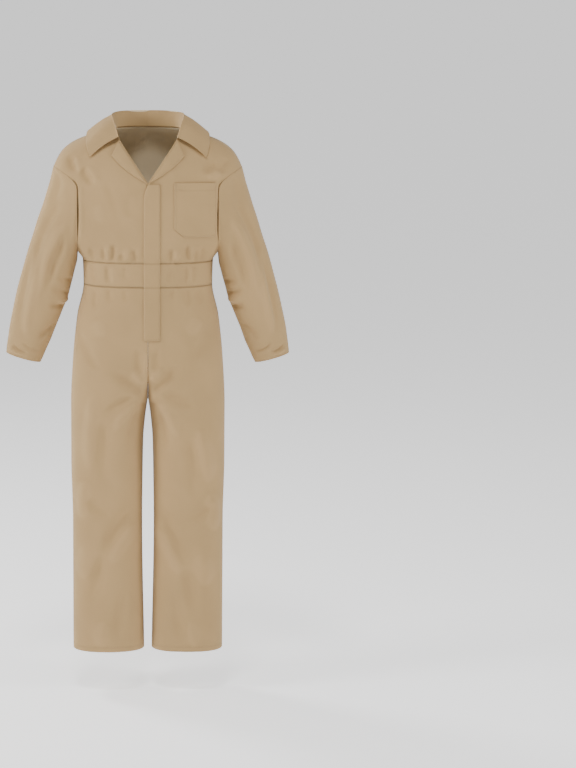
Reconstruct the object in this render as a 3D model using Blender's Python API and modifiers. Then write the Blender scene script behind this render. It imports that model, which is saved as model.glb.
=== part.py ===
"""A boiler suit, filled out as it is worn, with no wearer in it.

Metres, +Z up. The front faces -Y and +X is the wearer's left. The origin lies between the
shoulders at the height of the neck, where the wearer carries the suit.

The trunk is two height fields, a front and a back one: each gives the depth y of the cloth at
a width x and a height z. Every piece of the trunk, and everything sewn on it, is made from
points of those fields, so that neighbours share their seams.
"""

import math
from collections import namedtuple

import bmesh
import bpy
from mathutils import Vector

# ---------------------------------------------------------------- driving sizes
CLOTH = 0.0015            # cotton twill with its turnings
SEAM_GAP = 0.0003         # between two pieces at a flat seam
SIDE_GAP = 0.0007         # at a side seam's outer face: the inner faces lie nearer
SHOULDER_GAP = 0.0024     # the same on the sharper shoulder ridge
ARMHOLE_GAP = 0.0019
COLLAR_GAP = 0.0011

WAIST_TOP = -0.366        # seam between bodice and waistband
WAIST_LOW = -0.434        # seam between waistband and legs
FLY_END = -0.584
CROTCH = -0.764
CROTCH_CURVE_TOP = -0.600
TUBE_BELOW = -0.950       # each leg is a plain tube from here down
HEM = -1.495
V_BOTTOM = -0.140         # where the two fronts meet below the open neck

NECK_HALF_WIDTH = 0.088
NECK_SIDE_Z = 0.002
SHOULDER_TIP = (0.264, -0.103)
ARMPIT = (0.197, -0.345)
CHEST_EDGE_X = 0.196      # where the front armhole runs straight down
CHEST_EDGE_Z = -0.165     # and the height at which it starts to turn to the shoulder
NOTCH = (0.079, -0.024)   # upper end of the lapel's roll line

SECTION_POWER = 2.4       # 2 is an ellipse; more is squarer
ROLL_HEIGHT = 0.120       # height over which the cloth turns over the shoulder
ROLL_POWER = 2.2

FLY_LAP = 0.012           # how far the fly passes the centre, to the wearer's right
FLY_STITCH = 0.034        # its other side, at the topstitching
APPLIED_LIFT = 0.0022     # outer face of what lies on a panel, over the panel's own
SNAP_SEAT = 0.0003        # between a snap's cap and the cuff

TAN = (0.434, 0.294, 0.144)
SNAP_METAL = (0.72, 0.62, 0.48)

# ---------------------------------------------------------------- tables
Trunk = namedtuple("Trunk", "z half_width front back")
TRUNK = (
    Trunk(-1.495, 0.215, 0.078, 0.082),
    Trunk(-1.120, 0.215, 0.082, 0.088),
    Trunk(-0.940, 0.219, 0.098, 0.104),
    Trunk(-0.781, 0.219, 0.112, 0.124),
    Trunk(-0.652, 0.213, 0.120, 0.136),
    Trunk(-0.525, 0.200, 0.120, 0.126),
    Trunk(-0.434, 0.182, 0.112, 0.104),
    Trunk(-0.366, 0.184, 0.114, 0.101),
    Trunk(-0.345, 0.197, 0.120, 0.106),
    Trunk(-0.300, 0.228, 0.125, 0.112),
    Trunk(-0.220, 0.252, 0.124, 0.118),
    Trunk(-0.150, 0.272, 0.118, 0.119),
    Trunk(-0.080, 0.300, 0.108, 0.114),
    Trunk(0.010, 0.330, 0.100, 0.104),
)

Inseam = namedtuple("Inseam", "z x")
INSEAM = (
    Inseam(-1.495, 0.0105),
    Inseam(-1.120, 0.0165),
    Inseam(-1.010, 0.0155),
    Inseam(-0.880, 0.0130),
    Inseam(-0.815, 0.0075),
    Inseam(-0.764, 0.0004),
)

Shoulder = namedtuple("Shoulder", "x z")
SHOULDER = (
    Shoulder(0.000, 0.036),
    Shoulder(0.050, 0.020),
    Shoulder(0.088, 0.002),
    Shoulder(0.130, -0.008),
    Shoulder(0.171, -0.018),
    Shoulder(0.210, -0.035),
    Shoulder(0.238, -0.057),
    Shoulder(0.254, -0.081),
    Shoulder(0.264, -0.103),
)

Ring = namedtuple("Ring", "outer_x outer_z inner_x inner_z depth")
SLEEVE = (
    Ring(0.264, -0.103, 0.197, -0.345, 0.084),
    Ring(0.276, -0.144, 0.199, -0.362, 0.080),
    Ring(0.292, -0.200, 0.205, -0.393, 0.077),
    Ring(0.314, -0.266, 0.216, -0.437, 0.073),
    Ring(0.337, -0.337, 0.230, -0.482, 0.069),
    Ring(0.363, -0.430, 0.248, -0.528, 0.064),
    Ring(0.385, -0.523, 0.270, -0.583, 0.057),
    Ring(0.396, -0.586, 0.289, -0.628, 0.050),
    Ring(0.402, -0.633, 0.304, -0.661, 0.044),
)

# The fold of each action pleat on the back: its distance from the centre and the hollow's depth.
PLEAT_WIDTH = 0.034
PLEAT_STEEP_SHARE = 0.12  # of that width, next to the fold
Pleat = namedtuple("Pleat", "z x depth")
PLEAT = (
    Pleat(-0.434, 0.140, 0.003),
    Pleat(-0.366, 0.146, 0.006),
    Pleat(-0.274, 0.161, 0.013),
    Pleat(-0.200, 0.177, 0.010),
    Pleat(-0.125, 0.193, 0.003),
    Pleat(-0.030, 0.205, 0.000),
)

# One row for each station round the neck, from the centre back to the collar's front end:
# the fold at the top of the stand, and the fall's free edge.
Station = namedtuple("Station", "neck_x neck_y neck_z fold_x fold_y fold_z edge_x edge_y edge_z")
COLLAR = (
    Station(0.000, 0.074, 0.000, 0.000, 0.082, 0.045, 0.000, 0.104, -0.020),
    Station(0.046, 0.062, 0.001, 0.054, 0.071, 0.045, 0.085, 0.091, -0.018),
    Station(0.076, 0.034, 0.002, 0.088, 0.041, 0.044, 0.145, 0.056, -0.013),
    Station(0.088, 0.000, 0.002, 0.101, 0.000, 0.041, 0.169, 0.000, -0.006),
    Station(0.087, -0.034, -0.003, 0.097, -0.034, 0.028, 0.172, -0.054, -0.031),
    Station(0.083, -0.056, -0.013, 0.089, -0.062, 0.006, 0.168, -0.078, -0.053),
    Station(0.079, -0.070, -0.022, 0.083, -0.079, -0.015, 0.162, -0.093, -0.069),
)

# Pockets: distance of the inner and outer edge from the suit's centre, at the top and bottom.
Outline = namedtuple("Outline", "top bottom inner_top inner_low outer_top outer_low clip_width clip_height")
CHEST_POCKET = Outline(-0.140, -0.292, 0.073, 0.073, 0.188, 0.187, 0.028, 0.024)
HIP_POCKET = Outline(-0.478, -0.670, 0.074, 0.064, 0.180, 0.200, 0.026, 0.022)


# ---------------------------------------------------------------- curves through the tables
def read(table, key, value, column):
    """Value of a column at a place along the table's key, on a smooth curve with no overshoot."""
    keys = [getattr(row, key) for row in table]
    data = [getattr(row, column) for row in table]
    if value <= keys[0]:
        return data[0]
    if value >= keys[-1]:
        return data[-1]
    i = max(k for k in range(len(keys) - 1) if keys[k] <= value)
    slopes = [(data[k + 1] - data[k]) / (keys[k + 1] - keys[k]) for k in range(len(keys) - 1)]

    def tangent(k):
        if k == 0 or k == len(keys) - 1:
            return slopes[min(k, len(slopes) - 1)]
        before, after = slopes[k - 1], slopes[k]
        if before * after <= 0.0:
            return 0.0
        return 2.0 * before * after / (before + after)

    step = keys[i + 1] - keys[i]
    t = (value - keys[i]) / step
    rise = data[i + 1] - data[i]
    start, end = tangent(i) * step, tangent(i + 1) * step
    return data[i] + t * (start + t * ((3.0 * rise - 2.0 * start - end)
                                       + t * (start + end - 2.0 * rise)))


def along(rows, fraction):
    """Point at a fraction of the way along a chain of points, as a smooth curve through them."""
    place = fraction * (len(rows) - 1)
    i = min(int(place), len(rows) - 2)
    t = place - i
    p0, p1 = rows[max(i - 1, 0)], rows[i]
    p2, p3 = rows[i + 1], rows[min(i + 2, len(rows) - 1)]
    return 0.5 * (2.0 * p1 + t * (p2 - p0) + t * t * (2.0 * p0 - 5.0 * p1 + 4.0 * p2 - p3)
                  + t * t * t * (3.0 * p1 - p0 - 3.0 * p2 + p3))


def half_section(t, power=SECTION_POWER):
    """Depth of a section, 1 at its middle (t = 0) and 0 at its side (t = 1)."""
    return max(0.0, 1.0 - min(abs(t), 1.0) ** power) ** (1.0 / power)


# ---------------------------------------------------------------- the trunk's two fields
def shoulder_roll(x, z):
    """How far the cloth has turned down from the shoulder line: 0 on it, 1 below the roll."""
    drop = read(SHOULDER, "x", abs(x), "z") - z
    return half_section(1.0 - min(max(drop / ROLL_HEIGHT, 0.0), 1.0), ROLL_POWER)


def leg_section(t, z):
    """Depth of a section at a share t from the centre seam or inseam (0) to the side seam (1).

    Above the crotch both legs share one section, which is deepest at the centre. On the way
    down the crotch curve draws its centre in, and each leg rounds off to a tube of its own.
    """
    drawn = min(max((CROTCH_CURVE_TOP - z) / (CROTCH_CURVE_TOP - CROTCH), 0.0), 1.0)
    tube = min(max((CROTCH_CURVE_TOP - z) / (CROTCH_CURVE_TOP - TUBE_BELOW), 0.0), 1.0)
    tube = tube * tube * (3.0 - 2.0 * tube)
    deepest, rounded = 0.5 * tube, 0.10 + 0.40 * tube
    shape = half_section((t - deepest) / (1.0 - deepest)) if t > deepest else 1.0
    if t < rounded:
        centre = math.sqrt(1.0 - drawn ** 2)
        shape *= centre + (1.0 - centre) * half_section(1.0 - t / rounded)
    return shape


def pleat_hollow(x, z):
    """Depth of the back's action pleat: steep at the centre panel's fold, easy on its outside."""
    past = (abs(x) - read(PLEAT, "z", z, "x")) / PLEAT_WIDTH
    if past <= 0.0 or past >= 1.0 or z < WAIST_LOW:
        return 0.0
    steep = min(past / PLEAT_STEEP_SHARE, 1.0)
    return read(PLEAT, "z", z, "depth") * steep * 0.5 * (1.0 + math.cos(math.pi * past))


def trunk(x, z, face):
    """Point of the trunk's cloth; face is -1 for the front field and 1 for the back field."""
    width = read(TRUNK, "z", z, "half_width")
    depth = read(TRUNK, "z", z, "front" if face < 0 else "back")
    inner = read(INSEAM, "z", z, "x") if z < CROTCH else 0.0
    t = (abs(x) - inner) / (width - inner)
    shape = leg_section(t, z) if z < CROTCH_CURVE_TOP else half_section(t)
    y = depth * shape * shoulder_roll(x, z)
    if face > 0:
        y -= pleat_hollow(x, z)
    return Vector((x, face * max(y, 0.0), z))


def lifted(x, z, face, lift):
    """Point a little way out from the trunk's cloth, square to it."""
    step = 0.004
    across = trunk(x + step, z, face) - trunk(x - step, z, face)
    up = trunk(x, z + step, face) - trunk(x, z - step, face)
    normal = across.cross(up).normalized()
    if normal.y * face < 0.0:
        normal = -normal
    return trunk(x, z, face) + lift * normal


def armhole_x(z):
    """Width of the armhole seam at a height."""
    if z >= CHEST_EDGE_Z:
        rise = (z - CHEST_EDGE_Z) / (SHOULDER_TIP[1] - CHEST_EDGE_Z)
        return CHEST_EDGE_X + (SHOULDER_TIP[0] - CHEST_EDGE_X) * min(rise, 1.0) ** 2.2
    return CHEST_EDGE_X + (ARMPIT[0] - CHEST_EDGE_X) * (CHEST_EDGE_Z - z) / (CHEST_EDGE_Z - ARMPIT[1])


def outer_edge(v):
    """Side seam, armhole, shoulder tip: x and z of a bodice panel's outer edge, v from 0 to 1."""
    side = 0.07
    if v <= side:
        z = WAIST_TOP + (ARMPIT[1] - WAIST_TOP) * v / side
        return read(TRUNK, "z", z, "half_width"), z
    rise = (v - side) / (1.0 - side)
    z = ARMPIT[1] + (SHOULDER_TIP[1] - ARMPIT[1]) * math.sin(0.5 * math.pi * rise) ** 0.9
    return armhole_x(z), z


# ---------------------------------------------------------------- meshes
def sheet_object(name, rows, colour, closed=False, flip=False):
    """Rows of points as an open surface, made a wall of cloth on its inner side."""
    mesh_builder = bmesh.new()
    grid = [[mesh_builder.verts.new(point) for point in row] for row in rows]
    columns = len(grid[0])
    for lower, upper in zip(grid, grid[1:]):
        for j in range(columns if closed else columns - 1):
            k = (j + 1) % columns
            mesh_builder.faces.new((lower[j], lower[k], upper[k], upper[j]))
    if flip:
        bmesh.ops.reverse_faces(mesh_builder, faces=mesh_builder.faces)
    mesh = bpy.data.meshes.new(name)
    mesh_builder.to_mesh(mesh)
    mesh_builder.free()
    mesh.shade_smooth()
    piece = bpy.data.objects.new(name, mesh)
    suit.objects.link(piece)
    piece.data.materials.append(material(name, colour, 0.85, 0.0))
    wall = piece.modifiers.new("cloth wall", "SOLIDIFY")
    wall.thickness = CLOTH
    wall.offset = -1.0
    return piece


def material(name, colour, roughness, metallic):
    finish = bpy.data.materials.new(name + "_finish")
    finish.use_nodes = True
    shader = finish.node_tree.nodes["Principled BSDF"]
    shader.inputs["Base Color"].default_value = (*colour, 1.0)
    shader.inputs["Roughness"].default_value = roughness
    shader.inputs["Metallic"].default_value = metallic
    return finish


def mirrored(rows):
    """The same rows for the other side of the body."""
    return [[Vector((-point.x, point.y, point.z)) for point in row] for row in rows]


# ---------------------------------------------------------------- bodice
BODICE_ROWS = 13
FRONT_COLUMNS = 8
V_ROW = 7                 # the row that starts at the foot of the V
NOTCH_ROW = 11            # the row that starts at the notch


def front_inner_edge(row):
    """Centre front, lapel roll line, then the neck seam up to the shoulder."""
    gap = 0.5 * SEAM_GAP
    corners = ((0, gap, WAIST_TOP + gap), (V_ROW, gap, V_BOTTOM), (NOTCH_ROW, *NOTCH),
               (BODICE_ROWS - 1, NECK_HALF_WIDTH, NECK_SIDE_Z))
    for (r0, x0, z0), (r1, x1, z1) in zip(corners, corners[1:]):
        if row <= r1:
            t = (row - r0) / (r1 - r0)
            return x0 + (x1 - x0) * t, z0 + (z1 - z0) * t
    raise ValueError(row)


def shoulder_seam_point(x, face):
    """Point of the shoulder seam, just to the front or the back of the ridge."""
    return Vector((x, face * 0.5 * SHOULDER_GAP, read(SHOULDER, "x", x, "z")))


def bodice_point(x, z, face):
    """Trunk point, kept clear of the other half at the side seam."""
    point = trunk(x, z, face)
    if abs(point.y) < 0.5 * SIDE_GAP:
        point.y = face * 0.5 * SIDE_GAP
    return point


def front_panel():
    rows = []
    for row in range(BODICE_ROWS):
        v = row / (BODICE_ROWS - 1)
        x0, z0 = front_inner_edge(row)
        x1, z1 = outer_edge(v)
        points = []
        for column in range(FRONT_COLUMNS + 1):
            u = math.sin(0.5 * math.pi * column / FRONT_COLUMNS)
            x = x0 + (x1 - x0) * u
            if row == BODICE_ROWS - 1:
                points.append(shoulder_seam_point(x, -1))
            else:
                z = z0 + (z1 - z0) * u ** (1.0 + 1.2 * v)
                points.append(bodice_point(x, z, -1))
        rows.append(points)
    return rows


def back_half_columns(v):
    """Widths of the back's columns as x and z, from the centre out, with a few in the pleat."""
    x1, z1 = outer_edge(v)
    top = v >= 1.0
    z0 = NECK_SIDE_Z if top else WAIST_TOP + (NECK_SIDE_Z - 0.006 - WAIST_TOP) * v
    pleat_x = min(read(PLEAT, "z", 0.5 * (z0 + z1), "x"), x1 - 0.016)
    inner = [pleat_x * k / 6 for k in range(7)]
    if top:
        inner = [0.0, 0.035, 0.062, 0.080, NECK_HALF_WIDTH, 0.140, pleat_x]
    hollow = [pleat_x + (x1 - pleat_x) * share for share in (0.10, 0.30, 0.55)]
    outer = [pleat_x + (x1 - pleat_x) * share for share in (0.78, 0.93, 1.0)]
    places = []
    for x in inner + hollow + outer:
        share = x / x1
        z = z0 + (z1 - z0) * share ** (1.0 + 1.2 * v)
        places.append((x, z))
    return places


def back_panel():
    rows = []
    for row in range(BODICE_ROWS):
        v = row / (BODICE_ROWS - 1)
        half = []
        for x, z in back_half_columns(v):
            if row == BODICE_ROWS - 1 and x >= NECK_HALF_WIDTH:
                half.append(shoulder_seam_point(x, 1))
            elif row == BODICE_ROWS - 1:
                half.append(bodice_point(x, 0.0, 1))
            elif row == 0:
                half.append(bodice_point(x, WAIST_TOP + 0.5 * SEAM_GAP, 1))
            else:
                half.append(bodice_point(x, z, 1))
        left = [Vector((-p.x, p.y, p.z)) for p in reversed(half[1:])]
        rows.append(left + half)
    return rows


def make_bodice():
    front = front_panel()
    sheet_object("front_left", front, TAN)
    sheet_object("front_right", mirrored(front), TAN, flip=True)
    sheet_object("back", back_panel(), TAN, flip=True)


# ---------------------------------------------------------------- waistband
def band_rows(face, start, end, columns):
    """A band between the two waist seams; start and end are turns from the centre to the side."""
    rows = []
    for z in (WAIST_LOW + 0.5 * SEAM_GAP, 0.5 * (WAIST_LOW + WAIST_TOP), WAIST_TOP - 0.5 * SEAM_GAP):
        width = read(TRUNK, "z", z, "half_width")
        points = []
        for column in range(columns + 1):
            turn = start + (end - start) * column / columns
            x = width * math.sin(0.5 * math.pi * turn)
            if turn == 0.0 and face < 0:
                x = 0.5 * SEAM_GAP
            points.append(bodice_point(x, z, face))
        rows.append(points)
    return rows


def make_waistband():
    front = band_rows(-1, 0.0, 1.0, 10)
    sheet_object("waistband_front_left", front, TAN)
    sheet_object("waistband_front_right", mirrored(front), TAN, flip=True)
    sheet_object("waistband_back", band_rows(1, -1.0, 1.0, 22), TAN, flip=True)


# ---------------------------------------------------------------- legs
LEG_HEIGHTS = (HEM, -1.31, -1.12, -1.01, -0.91, -0.84, -0.795, CROTCH, -0.745, -0.71, -0.665, -0.61,
               -0.55, -0.50, -0.465, WAIST_LOW)


def leg_panel(face):
    rows = []
    for z in LEG_HEIGHTS:
        if z == WAIST_LOW:
            z -= 0.5 * SEAM_GAP
        inner = read(INSEAM, "z", z, "x") if z < CROTCH else 0.5 * SEAM_GAP
        width = read(TRUNK, "z", z, "half_width")
        points = []
        for column in range(12):
            share = 0.5 * (1.0 - math.cos(math.pi * column / 11))
            points.append(bodice_point(inner + (width - inner) * share, z, face))
        rows.append(points)
    return rows


def make_legs():
    for place, face in (("front", -1), ("back", 1)):
        rows = leg_panel(face)
        sheet_object(f"leg_{place}_left", rows, TAN, flip=face > 0)
        sheet_object(f"leg_{place}_right", mirrored(rows), TAN, flip=face < 0)


# ---------------------------------------------------------------- sleeves
def armhole_point(turn):
    """Point of the armhole seam: turn 0 at the shoulder tip, 0.25 in front, 0.5 at the armpit."""
    middle = 0.5 * (SHOULDER_TIP[1] + ARMPIT[1])
    z = middle + (SHOULDER_TIP[1] - middle) * math.cos(2.0 * math.pi * turn)
    x = armhole_x(z)
    face = -1 if turn <= 0.5 else 1
    if turn in (0.0, 0.5):
        return Vector((x, 0.0, z))
    return trunk(x, z, face)


def sleeve_point(length, turn):
    """Point of the sleeve: length 0 at the armhole and 1 at the cuff."""
    outer = along([Vector((ring.outer_x, 0.0, ring.outer_z)) for ring in SLEEVE], length)
    inner = along([Vector((ring.inner_x, 0.0, ring.inner_z)) for ring in SLEEVE], length)
    depth = along([Vector((ring.depth, 0.0, 0.0)) for ring in SLEEVE], length).x
    angle = 2.0 * math.pi * turn
    round_point = 0.5 * (outer + inner) + 0.5 * math.cos(angle) * (outer - inner)
    round_point.y = -depth * math.copysign(abs(math.sin(angle)) ** 0.9, math.sin(angle))
    offset = armhole_point(turn) - sleeve_start_ellipse(turn)
    fade = max(0.0, 1.0 - length / 0.45) ** 2
    return round_point + fade * offset


def sleeve_start_ellipse(turn):
    """Where the armhole's point would be if the armhole were a plain ellipse."""
    ring = SLEEVE[0]
    angle = 2.0 * math.pi * turn
    outer = Vector((ring.outer_x, 0.0, ring.outer_z))
    inner = Vector((ring.inner_x, 0.0, ring.inner_z))
    point = 0.5 * (outer + inner) + 0.5 * math.cos(angle) * (outer - inner)
    point.y = -ring.depth * math.copysign(abs(math.sin(angle)) ** 0.9, math.sin(angle))
    return point


def make_sleeves():
    rows = sleeve_rows()
    sheet_object("sleeve_left", rows, TAN, closed=True)
    sheet_object("sleeve_right", mirrored(rows), TAN, closed=True, flip=True)


def sleeve_rows():
    around, lengths = 20, 12
    rows = []
    for row in range(lengths + 1):
        length = row / lengths
        points = [sleeve_point(length, column / around) for column in range(around)]
        if row == 0:
            points = [point + Vector((ARMHOLE_GAP, 0.0, 0.0)) for point in points]
        rows.append(points)
    return rows


# ---------------------------------------------------------------- collar and lapels
def collar_section(station):
    """Points of one section: up the stand, over the fold, down the fall."""
    neck = Vector((station.neck_x, station.neck_y, station.neck_z + COLLAR_GAP))
    fold = Vector((station.fold_x, station.fold_y, station.fold_z))
    edge = Vector((station.edge_x, station.edge_y, station.edge_z))
    turn = min(0.005, 0.4 * (fold - neck).length)
    inside = fold + (neck - fold).normalized() * turn
    outside = fold + (edge - fold).normalized() * 0.006
    fall = edge - outside
    bow = Vector((0.0, 0.0, 0.05 * fall.length))
    return [neck, neck.lerp(inside, 0.55), inside, fold + Vector((0.0, 0.0, 0.0015)), outside,
            outside + 0.35 * fall + bow, outside + 0.7 * fall + 0.8 * bow, edge]


def make_collar():
    sections = [collar_section(station) for station in COLLAR]
    half = []
    for step in range(13):
        half.append([along([section[i] for section in sections], step / 12) for i in range(8)])
    left = mirrored(half[:0:-1])
    sheet_object("collar", left + half, TAN, flip=True)


def make_lapels():
    """Each front's top corner, turned back along its roll line and lying on the panel."""
    roll_top, roll_foot = Vector((0.0800, -0.0290)), Vector((0.0040, V_BOTTOM + 0.001))
    tip, outer_low = Vector((0.100, -0.067)), Vector((0.0080, V_BOTTOM + 0.002))
    rows = []
    columns, heights = 4, 7
    for row in range(heights + 1):
        v = row / heights
        inner = roll_top.lerp(roll_foot, v)
        outer = tip.lerp(outer_low, v ** 1.08)
        bulge = Vector((0.004, -0.004)) * math.sin(math.pi * v)
        points = []
        for column in range(columns + 1):
            u = column / columns
            place = inner.lerp(outer + bulge, u)
            lift = APPLIED_LIFT + 0.003 * math.sin(math.pi * u)
            points.append(lifted(place.x + 0.001, place.y, -1, lift))
        rows.append(points)
    sheet_object("lapel_left", rows, TAN, flip=True)
    sheet_object("lapel_right", mirrored(rows), TAN)


# ---------------------------------------------------------------- what lies on the panels
def pocket(name, outline, face, side):
    """A patch pocket with one clipped lower corner, on its panel; side is 1 for the left."""
    rows = []
    columns, heights, last_turn = 8, 7, math.radians(80.0)
    for row in range(heights + 1):
        points = []
        v = row / heights
        inner = outline.inner_low + (outline.inner_top - outline.inner_low) * v
        outer = outline.outer_low + (outline.outer_top - outline.outer_low) * v
        for column in range(columns + 1):
            x = inner + (outer - inner) * math.sin(last_turn * column / columns) / math.sin(last_turn)
            clip = max(0.0, 1.0 - (x - inner) / outline.clip_width)
            low = outline.bottom + outline.clip_height * clip
            points.append(lifted(x, low + (outline.top - low) * v, face, APPLIED_LIFT))
        rows.append(points)
    if side < 0:
        rows = mirrored(rows)
    sheet_object(name, rows, TAN, flip=face * side > 0)


def make_fly():
    """The strip that hides the fastening, over the fronts, the waistband and the top of the legs."""
    rows = []
    columns, steps = 3, 16
    for row in range(steps + 1):
        z = FLY_END + (V_BOTTOM - 0.004 - FLY_END) * row / steps
        taper = min(1.0, (V_BOTTOM - z) / 0.050)
        left_edge = 0.002 - (FLY_LAP + 0.002) * math.sin(0.5 * math.pi * taper)
        points = []
        for column in range(columns + 1):
            x = left_edge + (FLY_STITCH - left_edge) * column / columns
            points.append(lifted(x, z, -1, APPLIED_LIFT))
        rows.append(points)
    sheet_object("fly_placket", rows, TAN)


def make_snaps():
    """The cap of the snap on the back of each cuff."""
    radius, height = 0.0055, 0.0016
    column = 13           # of the sleeve's columns, on the back and towards the body
    upper, lower = [row[column:column + 2] for row in sleeve_rows()[-2:]]
    centre = (upper[0] + upper[1] + lower[0] + lower[1]) / 4
    normal = (lower[0] - upper[1]).cross(lower[1] - upper[0]).normalized()
    if normal.y < 0.0:
        normal = -normal
    for name, side in (("cuff_snap_left", 1), ("cuff_snap_right", -1)):
        axis = Vector((side * normal.x, normal.y, normal.z))
        place = Vector((side * centre.x, centre.y, centre.z)) + axis * (0.5 * height + SNAP_SEAT)
        bpy.ops.mesh.primitive_cylinder_add(vertices=12, radius=radius, depth=height, location=place,
                                            rotation=axis.to_track_quat("Z", "Y").to_euler())
        cap = bpy.context.object
        cap.name = name
        cap.data.name = name
        for collection in list(cap.users_collection):
            collection.objects.unlink(cap)
        suit.objects.link(cap)
        edge = cap.modifiers.new("rounded rim", "BEVEL")
        edge.width = 0.0004
        edge.segments = 1
        cap.data.materials.append(material(name, SNAP_METAL, 0.35, 1.0))


# ---------------------------------------------------------------- the suit
for old in list(bpy.data.objects):
    bpy.data.objects.remove(old, do_unlink=True)
suit = bpy.data.collections.new("boiler_suit")
bpy.context.scene.collection.children.link(suit)

make_bodice()
make_waistband()
make_legs()
make_sleeves()
make_collar()
make_lapels()
make_fly()
pocket("chest_pocket", CHEST_POCKET, -1, 1)
pocket("hip_pocket", HIP_POCKET, 1, -1)
make_snaps()
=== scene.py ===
"""Looks of the boiler suit: each cloth piece again as a fine thin shell with its creases,
puckers and topstitching, on the same curves as its solid.

Metres, +Z up. The front faces -Y and +X is the wearer's left. Creases are strokes (x, z) on
the front or the back of the trunk, or on the left sleeve as (length, turn).
"""
import math
from collections import namedtuple

import bpy
import numpy as np
from mathutils import Matrix, Vector


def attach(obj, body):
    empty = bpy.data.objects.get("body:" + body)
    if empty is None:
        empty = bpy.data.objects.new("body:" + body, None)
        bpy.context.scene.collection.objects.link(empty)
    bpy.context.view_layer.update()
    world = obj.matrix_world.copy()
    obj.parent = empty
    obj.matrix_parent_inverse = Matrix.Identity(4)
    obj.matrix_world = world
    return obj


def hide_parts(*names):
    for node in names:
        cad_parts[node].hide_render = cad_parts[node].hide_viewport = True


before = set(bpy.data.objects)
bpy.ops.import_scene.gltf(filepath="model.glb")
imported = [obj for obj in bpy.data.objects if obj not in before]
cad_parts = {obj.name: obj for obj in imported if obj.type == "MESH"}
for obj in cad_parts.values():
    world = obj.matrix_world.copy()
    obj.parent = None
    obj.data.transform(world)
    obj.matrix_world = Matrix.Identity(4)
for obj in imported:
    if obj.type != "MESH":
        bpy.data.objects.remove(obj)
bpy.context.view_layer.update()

# -------- sizes, as in the CAD
CLOTH = 0.0009
SEAM_GAP = 0.0002
WAIST_TOP, WAIST_LOW = -0.366, -0.434
FLY_END, CROTCH, CROTCH_CURVE_TOP = -0.584, -0.764, -0.600
TUBE_BELOW, HEM, V_BOTTOM = -0.950, -1.495, -0.140
NECK_HALF_WIDTH, NECK_SIDE_Z = 0.088, 0.002
SHOULDER_TIP, ARMPIT = (0.264, -0.103), (0.197, -0.345)
CHEST_EDGE_X, CHEST_EDGE_Z = 0.196, -0.165
NOTCH = (0.079, -0.024)
SECTION_POWER, ROLL_HEIGHT, ROLL_POWER = 2.4, 0.120, 2.2
FLY_LAP, FLY_STITCH = 0.012, 0.034
APPLIED_LIFT = 0.0022
HEM_STITCH = 0.0145       # from a hem's edge to its stitch line
POCKET_HEM = 0.020
PATCH_INSET = 0.0026      # from a pocket's edge to its stitches
SLEEVE_ROUND, SLEEVE_LONG = 0.40, 0.62    # a sleeve's size, for its creases

Trunk = namedtuple("Trunk", "z half_width front back")
TRUNK = (
    Trunk(-1.495, 0.215, 0.078, 0.082), Trunk(-1.120, 0.215, 0.082, 0.088),
    Trunk(-0.940, 0.219, 0.098, 0.104), Trunk(-0.781, 0.219, 0.112, 0.124),
    Trunk(-0.652, 0.213, 0.120, 0.136), Trunk(-0.525, 0.200, 0.120, 0.126),
    Trunk(-0.434, 0.182, 0.112, 0.104), Trunk(-0.366, 0.184, 0.114, 0.101),
    Trunk(-0.345, 0.197, 0.120, 0.106), Trunk(-0.300, 0.228, 0.125, 0.112),
    Trunk(-0.220, 0.252, 0.124, 0.118), Trunk(-0.150, 0.272, 0.118, 0.119),
    Trunk(-0.080, 0.300, 0.108, 0.114), Trunk(0.010, 0.330, 0.100, 0.104),
)
Inseam = namedtuple("Inseam", "z x")
INSEAM = (Inseam(-1.495, 0.0105), Inseam(-1.120, 0.0165), Inseam(-1.010, 0.0155),
          Inseam(-0.880, 0.0130), Inseam(-0.815, 0.0075), Inseam(-0.764, 0.0004))
Shoulder = namedtuple("Shoulder", "x z")
SHOULDER = (Shoulder(0.000, 0.036), Shoulder(0.050, 0.020), Shoulder(0.088, 0.002),
            Shoulder(0.130, -0.008), Shoulder(0.171, -0.018), Shoulder(0.210, -0.035),
            Shoulder(0.238, -0.057), Shoulder(0.254, -0.081), Shoulder(0.264, -0.103))
Ring = namedtuple("Ring", "outer_x outer_z inner_x inner_z depth")
SLEEVE = (
    Ring(0.264, -0.103, 0.197, -0.345, 0.084), Ring(0.276, -0.144, 0.199, -0.362, 0.080),
    Ring(0.292, -0.200, 0.205, -0.393, 0.077), Ring(0.314, -0.266, 0.216, -0.437, 0.073),
    Ring(0.337, -0.337, 0.230, -0.482, 0.069), Ring(0.363, -0.430, 0.248, -0.528, 0.064),
    Ring(0.385, -0.523, 0.270, -0.583, 0.057), Ring(0.396, -0.586, 0.289, -0.628, 0.050),
    Ring(0.402, -0.633, 0.304, -0.661, 0.044),
)
PLEAT_WIDTH, PLEAT_STEEP_SHARE = 0.034, 0.10
Pleat = namedtuple("Pleat", "z x depth")
PLEAT = (Pleat(-0.434, 0.140, 0.003), Pleat(-0.366, 0.146, 0.007), Pleat(-0.274, 0.161, 0.015),
         Pleat(-0.200, 0.177, 0.012), Pleat(-0.125, 0.193, 0.004), Pleat(-0.030, 0.205, 0.000))
Station = namedtuple("Station", "neck_x neck_y neck_z fold_x fold_y fold_z edge_x edge_y edge_z")
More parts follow.
